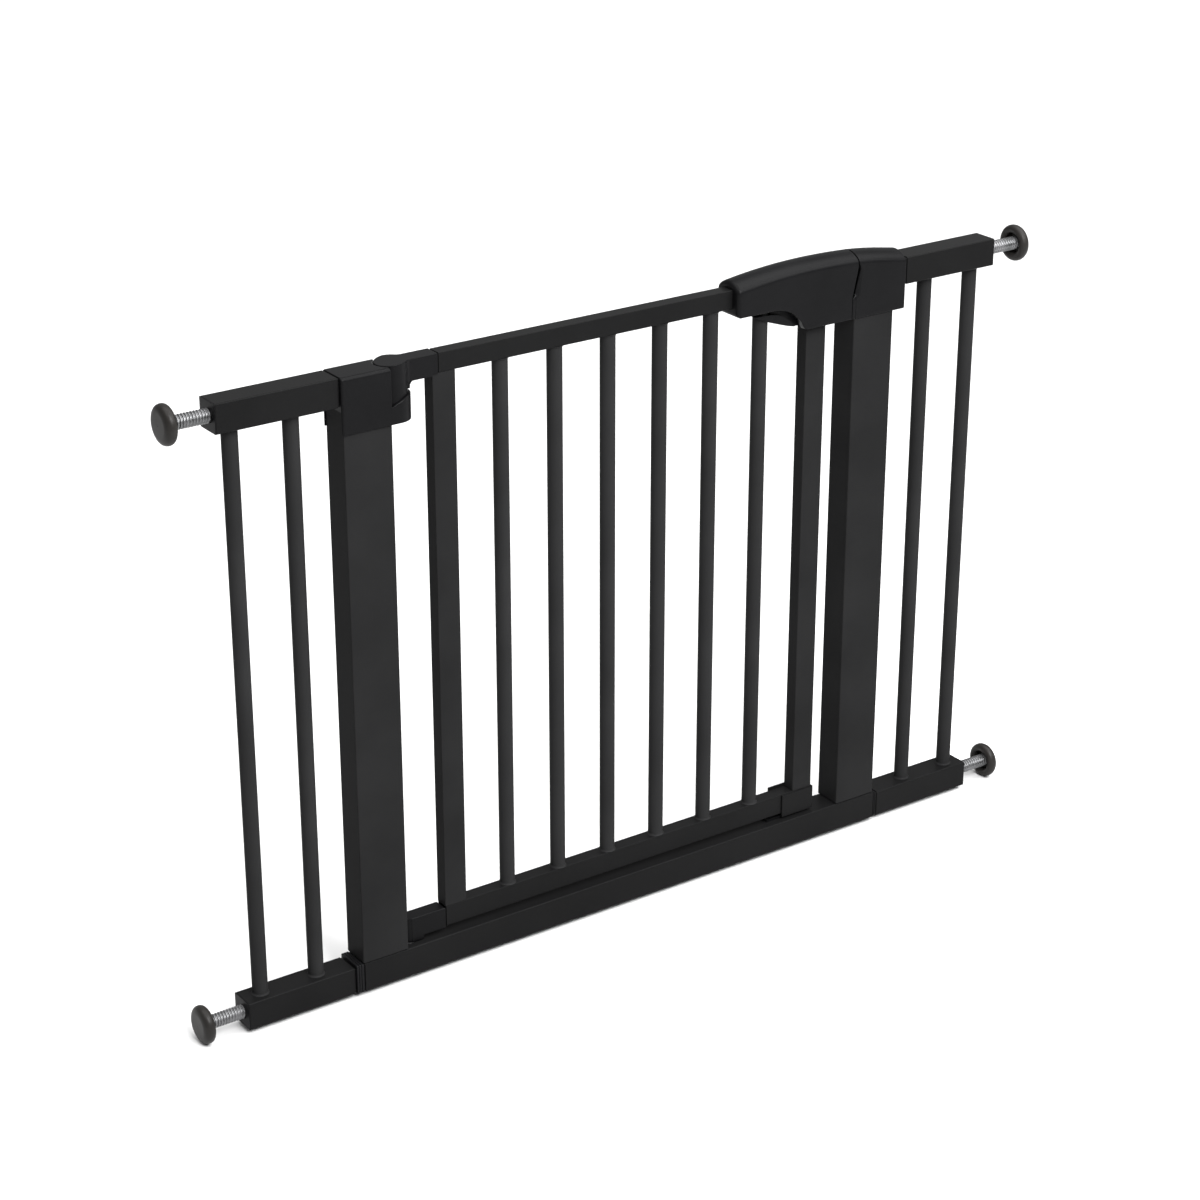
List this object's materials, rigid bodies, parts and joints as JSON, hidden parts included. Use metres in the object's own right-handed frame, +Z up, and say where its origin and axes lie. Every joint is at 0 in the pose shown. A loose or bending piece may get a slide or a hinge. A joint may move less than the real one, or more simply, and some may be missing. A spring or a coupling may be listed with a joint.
{
  "type": "pressure-fit safety baby gate",
  "caption": "Black steel safety gate for a doorway: pressure-fit frame with side panels, lift-and-swing door, squeeze-release handle and screw-out rubber wall pads.",
  "frame": {"origin": "middle of the gate's width and depth, at the height of the lowest point of the lower wall pads", "axes": "+Z is up, +X runs across the doorway from the hinge side to the lock side, -Y is the side that carries the flat handle face seen first"},
  "size_m": [1.148, 0.044, 0.754],
  "materials": {
    "coated_steel": "semi-gloss powder coat",
    "moulded_plastic": "fine satin grain",
    "zinc_steel": "bright zinc plate",
    "pad_rubber": "matte"
  },
  "bodies": {
    "frame": {"base_bar": "coated_steel", "base_bar_collar": "moulded_plastic", "base_bar_cap": "moulded_plastic", "hinge_post": "coated_steel", "lock_post": "coated_steel", "hinge_housing": "moulded_plastic", "lock_housing": "moulded_plastic", "strike_plate": "zinc_steel", "low_stop": "moulded_plastic", "upper_hinge_pin": "zinc_steel", "lower_hinge_pin": "zinc_steel", "left_top_rail": "coated_steel", "left_bottom_rail": "coated_steel", "left_bars": "coated_steel", "right_top_rail": "coated_steel", "right_bottom_rail": "coated_steel", "right_bars": "coated_steel", "joiner_top_left": "moulded_plastic", "joiner_bottom_left": "moulded_plastic", "joiner_top_right": "moulded_plastic", "joiner_bottom_right": "moulded_plastic", "plug_top_left": "moulded_plastic", "plug_bottom_left": "moulded_plastic", "plug_top_right": "moulded_plastic", "plug_bottom_right": "moulded_plastic", "housing_screws": "zinc_steel"},
    "pivot": {"upper_thrust_washer": "zinc_steel", "lower_thrust_washer": "zinc_steel"},
    "door": {"door_top_rail": "coated_steel", "door_bottom_rail": "coated_steel", "hinge_stile": "coated_steel", "latch_stile": "coated_steel", "door_bars": "coated_steel", "hinge_arm": "moulded_plastic", "lower_hinge_block": "moulded_plastic", "catch_fork": "coated_steel", "handle_front_shell": "moulded_plastic", "handle_back_shell": "moulded_plastic", "handle_screws": "zinc_steel", "bolt_spring": "zinc_steel", "trigger_spring": "zinc_steel"},
    "trigger": {"release_trigger": "moulded_plastic"},
    "bolt": {"lock_bolt": "zinc_steel"},
    "pad_top_left_body": {"pad_top_left": "pad_rubber"},
    "spindle_top_left_body": {"spindle_top_left": "zinc_steel"},
    "pad_bottom_left_body": {"pad_bottom_left": "pad_rubber"},
    "spindle_bottom_left_body": {"spindle_bottom_left": "zinc_steel"},
    "pad_top_right_body": {"pad_top_right": "pad_rubber"},
    "spindle_top_right_body": {"spindle_top_right": "zinc_steel"},
    "pad_bottom_right_body": {"pad_bottom_right": "pad_rubber"},
    "spindle_bottom_right_body": {"spindle_bottom_right": "zinc_steel"}
  },
  "joints": [
    {"name": "door_swing", "type": "hinge", "parent": "frame", "child": "pivot", "pos_m": [-0.3055, 0, 0], "axis": [0, 0, 1], "range_deg": [-90, 90]},
    {"name": "door_lift", "type": "slide", "parent": "pivot", "child": "door", "axis": [0, 0, 1], "range_m": [0, 0.012]},
    {"name": "trigger_squeeze", "type": "slide", "parent": "door", "child": "trigger", "axis": [0, 0, 1], "range_m": [0, 0.005], "stiffness_N_per_m": 800, "springref_m": -0.003, "deforming": ["trigger_spring"]},
    {"name": "bolt_slide", "type": "slide", "parent": "door", "child": "bolt", "axis": [-1, 0, 0], "range_m": [0, 0.005], "stiffness_N_per_m": 400, "springref_m": -0.003, "deforming": ["bolt_spring"]},
    {"name": "reach_top_left", "type": "slide", "parent": "frame", "child": "pad_top_left_body", "axis": [-1, 0, 0], "range_m": [-0.04, 0.025]},
    {"name": "screw_top_left", "type": "hinge", "parent": "pad_top_left_body", "child": "spindle_top_left_body", "pos_m": [-0.574, 0, 0.718], "axis": [-1, 0, 0], "range_deg": [-4114.3, 2571.4]},
    {"name": "reach_bottom_left", "type": "slide", "parent": "frame", "child": "pad_bottom_left_body", "axis": [-1, 0, 0], "range_m": [-0.04, 0.025]},
    {"name": "screw_bottom_left", "type": "hinge", "parent": "pad_bottom_left_body", "child": "spindle_bottom_left_body", "pos_m": [-0.574, 0, 0.022], "axis": [-1, 0, 0], "range_deg": [-4114.3, 2571.4]},
    {"name": "reach_top_right", "type": "slide", "parent": "frame", "child": "pad_top_right_body", "axis": [1, 0, 0], "range_m": [-0.04, 0.025]},
    {"name": "screw_top_right", "type": "hinge", "parent": "pad_top_right_body", "child": "spindle_top_right_body", "pos_m": [0.574, 0, 0.718], "axis": [1, 0, 0], "range_deg": [-4114.3, 2571.4]},
    {"name": "reach_bottom_right", "type": "slide", "parent": "frame", "child": "pad_bottom_right_body", "axis": [1, 0, 0], "range_m": [-0.04, 0.025]},
    {"name": "screw_bottom_right", "type": "hinge", "parent": "pad_bottom_right_body", "child": "spindle_bottom_right_body", "pos_m": [0.574, 0, 0.022], "axis": [1, 0, 0], "range_deg": [-4114.3, 2571.4]}
  ],
  "couplings": [
    {"joint": "bolt_slide", "follows": "trigger_squeeze", "ratio": 1},
    {"joint": "screw_top_left", "follows": "reach_top_left", "rad_per_m": 1795.2},
    {"joint": "screw_bottom_left", "follows": "reach_bottom_left", "rad_per_m": 1795.2},
    {"joint": "screw_top_right", "follows": "reach_top_right", "rad_per_m": 1795.2},
    {"joint": "screw_bottom_right", "follows": "reach_bottom_right", "rad_per_m": 1795.2}
  ]
}
